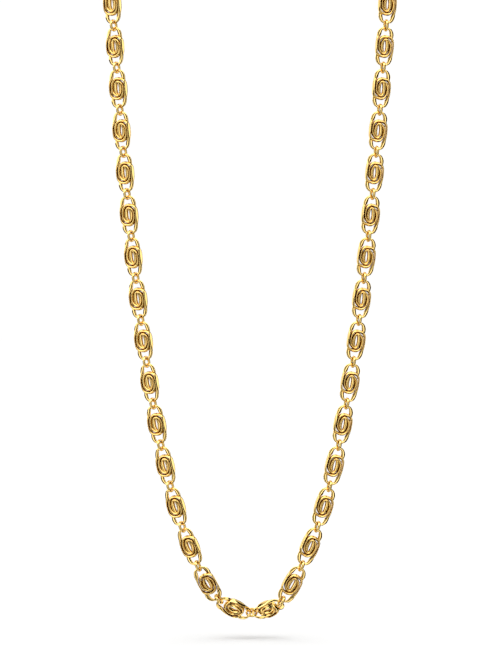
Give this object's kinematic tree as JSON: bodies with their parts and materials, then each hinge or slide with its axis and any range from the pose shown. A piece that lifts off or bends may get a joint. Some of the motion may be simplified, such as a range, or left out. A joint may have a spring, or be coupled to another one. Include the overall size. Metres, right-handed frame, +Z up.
{
  "type": "oval link chain necklace",
  "caption": "Long hanging necklace of oval wire links, each filled with a nest of scroll-like wire ovals, joined by round jump rings and closed by a plain barrel clasp.",
  "frame": {"origin": "inner side of the clasp, halfway along it, where the necklace rests on the back of a neck", "axes": "+Z up, with the chain hanging down; -Y is the wearer's front, +Y the nape; +X is the viewer's right in the picture"},
  "size_m": [0.0908, 0.0577, 0.2423],
  "materials": {
    "gold": "polished"
  },
  "bodies": {
    "root": {"left_strand": "gold", "right_strand": "gold", "clasp": "gold"}
  },
  "joints": []
}
